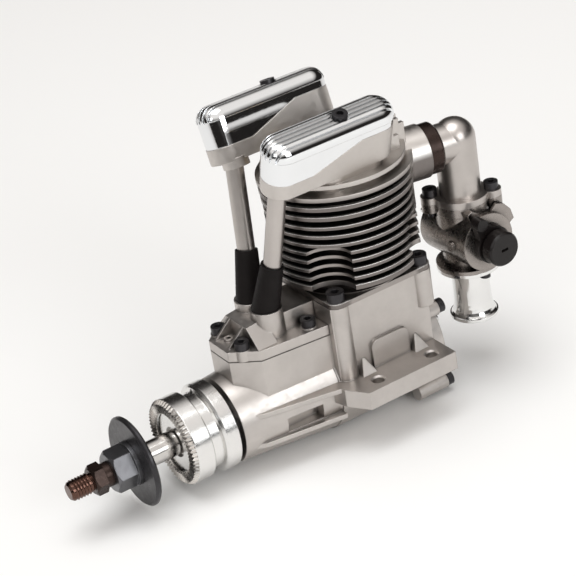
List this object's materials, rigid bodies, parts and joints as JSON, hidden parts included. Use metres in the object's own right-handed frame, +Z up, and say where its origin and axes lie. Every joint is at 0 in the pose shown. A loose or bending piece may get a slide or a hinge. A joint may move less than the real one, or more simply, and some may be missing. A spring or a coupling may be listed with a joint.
{
  "type": "model aircraft engine",
  "caption": "Single-cylinder four-stroke model aircraft engine with finned cylinder, rocker covers, pushrod tubes, rear carburettor, beam lugs and a propeller drive.",
  "frame": {"origin": "where the crank axis meets the cylinder axis, midway between the four lug holes", "axes": "-Y forward along the crank axis towards the propeller, +Z up the cylinder axis, +X to the engine's left"},
  "size_m": [0.0578, 0.1586, 0.11],
  "materials": {
    "cast_case": "bead-blasted aluminium casting",
    "fins": "cast aluminium with bright turned fin edges",
    "chrome": "polished chrome plate",
    "turned_aluminium": "polished turned aluminium",
    "satin_tube": "satin aluminium",
    "steel": "ground steel",
    "black_steel": "black oxide steel",
    "brown_steel": "bronzed black oxide steel",
    "rubber": "matt black rubber",
    "black_plastic": "black anodised or moulded, semi-gloss",
    "gasket": "dark gasket paper",
    "carb_casting": "cast aluminium, darker",
    "brass": "plated brass"
  },
  "bodies": {
    "root": {"crankcase": "cast_case", "backplate": "cast_case", "cam_cover": "cast_case", "cylinder": "fins", "rocker_cover_left": "chrome", "rocker_cover_right": "chrome", "velocity_stack": "turned_aluminium", "breather_nipple": "turned_aluminium", "pushrod_tube_left": "satin_tube", "pushrod_tube_right": "satin_tube", "intake_pipe": "satin_tube", "cam_pin": "steel", "rear_bearing_outer": "steel", "front_bearing_outer": "steel", "valve_spring_left": "steel", "valve_spring_right": "steel", "rocker_shafts": "steel", "backplate_screws": "black_steel", "cam_cover_screws": "black_steel", "cylinder_screws": "black_steel", "rocker_cover_screws": "black_steel", "intake_pipe_screws": "black_steel", "velocity_stack_screws": "black_steel", "intake_ring_nut": "brown_steel", "pushrod_boot_left": "rubber", "pushrod_boot_right": "rubber", "cam_cover_gasket": "gasket", "carburettor_body": "carb_casting", "glow_plug": "brass"},
    "crank": {"crankshaft": "steel", "crank_gear": "steel", "rear_bearing_inner": "steel", "rear_bearing_balls": "steel", "front_bearing_inner": "steel", "front_bearing_balls": "steel", "drive_collet": "steel", "prop_driver": "turned_aluminium", "prop_washer": "black_steel", "prop_nut": "black_steel", "lock_nut": "brown_steel"},
    "camshaft": {"cam_gear": "steel"},
    "tappet_l": {"tappet_left": "steel"},
    "tappet_r": {"tappet_right": "steel"},
    "pushrod_l": {"pushrod_left": "satin_tube"},
    "pushrod_r": {"pushrod_right": "satin_tube"},
    "rocker_l": {"rocker_arm_left": "steel"},
    "rocker_r": {"rocker_arm_right": "steel"},
    "valve_l": {"valve_left": "steel", "valve_retainers_left": "steel"},
    "valve_r": {"valve_right": "steel", "valve_retainers_right": "steel"},
    "piston_body": {"piston": "satin_tube", "piston_ring": "steel", "wrist_pin": "steel"},
    "rod": {"connecting_rod": "satin_tube", "crankpin_bush": "steel"},
    "throttle": {"throttle_barrel": "carb_casting", "throttle_arm": "black_plastic"},
    "idle_needle": {"idle_needle_knob": "black_plastic"},
    "main_needle_body": {"main_needle": "turned_aluminium"}
  },
  "joints": [
    {"name": "crank_spin", "type": "hinge", "parent": "root", "child": "crank", "pos_m": [0, -0.05, 0], "axis": [0, -1, 0], "continuous": true},
    {"name": "cam_spin", "type": "hinge", "parent": "root", "child": "camshaft", "pos_m": [0, -0.034, 0.015], "axis": [1, 0, 0], "continuous": true},
    {"name": "piston_stroke", "type": "slide", "parent": "root", "child": "piston_body", "axis": [0, 0, 1], "range_m": [-0.021, 0]},
    {"name": "rod_swing", "type": "hinge", "parent": "piston_body", "child": "rod", "pos_m": [0, 0, 0.0475], "axis": [0, 1, 0], "range_deg": [-6, 6]},
    {"name": "throttle_turn", "type": "hinge", "parent": "root", "child": "throttle", "pos_m": [0.00705, 0.03998, 0.0305], "axis": [1, 0, 0], "range_deg": [0, 65]},
    {"name": "idle_needle_turn", "type": "hinge", "parent": "throttle", "child": "idle_needle", "pos_m": [0.022, 0.03998, 0.0305], "axis": [1, 0, 0], "range_deg": [-360, 360]},
    {"name": "main_needle_turn", "type": "hinge", "parent": "root", "child": "main_needle_body", "pos_m": [-0.008, 0.03998, 0.0305], "axis": [1, 0, 0], "range_deg": [-360, 360]},
    {"name": "rocker_left", "type": "hinge", "parent": "root", "child": "rocker_l", "pos_m": [0.01653, -0.0115, 0.08225], "axis": [-0.9511, 0, 0.309], "range_deg": [0, 7.6]},
    {"name": "pushrod_left", "type": "slide", "parent": "root", "child": "pushrod_l", "axis": [0.1996, 0.1438, 0.9693], "range_m": [0, 0.00195]},
    {"name": "tappet_left", "type": "slide", "parent": "root", "child": "tappet_l", "axis": [0, 0, 1], "range_m": [0, 0.0019]},
    {"name": "valve_left", "type": "slide", "parent": "root", "child": "valve_l", "axis": [-0.309, 0, -0.9511], "range_m": [0, 0.00195], "deforming": ["valve_spring_left"]},
    {"name": "rocker_right", "type": "hinge", "parent": "root", "child": "rocker_r", "pos_m": [-0.01653, -0.0115, 0.08225], "axis": [-0.9511, 0, -0.309], "range_deg": [0, 7.6]},
    {"name": "pushrod_right", "type": "slide", "parent": "root", "child": "pushrod_r", "axis": [-0.1996, 0.1438, 0.9693], "range_m": [0, 0.00195]},
    {"name": "tappet_right", "type": "slide", "parent": "root", "child": "tappet_r", "axis": [0, 0, 1], "range_m": [0, 0.0019]},
    {"name": "valve_right", "type": "slide", "parent": "root", "child": "valve_r", "axis": [0.309, 0, -0.9511], "range_m": [0, 0.00195], "deforming": ["valve_spring_right"]}
  ],
  "couplings": [
    {"joint": "cam_spin", "follows": "crank_spin", "ratio": 0.5},
    {"joint": "pushrod_left", "follows": "rocker_left", "m_per_rad": 0.0146},
    {"joint": "tappet_left", "follows": "rocker_left", "m_per_rad": 0.014},
    {"joint": "valve_left", "follows": "rocker_left", "m_per_rad": 0.0145},
    {"joint": "pushrod_right", "follows": "rocker_right", "m_per_rad": 0.0146},
    {"joint": "tappet_right", "follows": "rocker_right", "m_per_rad": 0.014},
    {"joint": "valve_right", "follows": "rocker_right", "m_per_rad": 0.0145}
  ]
}
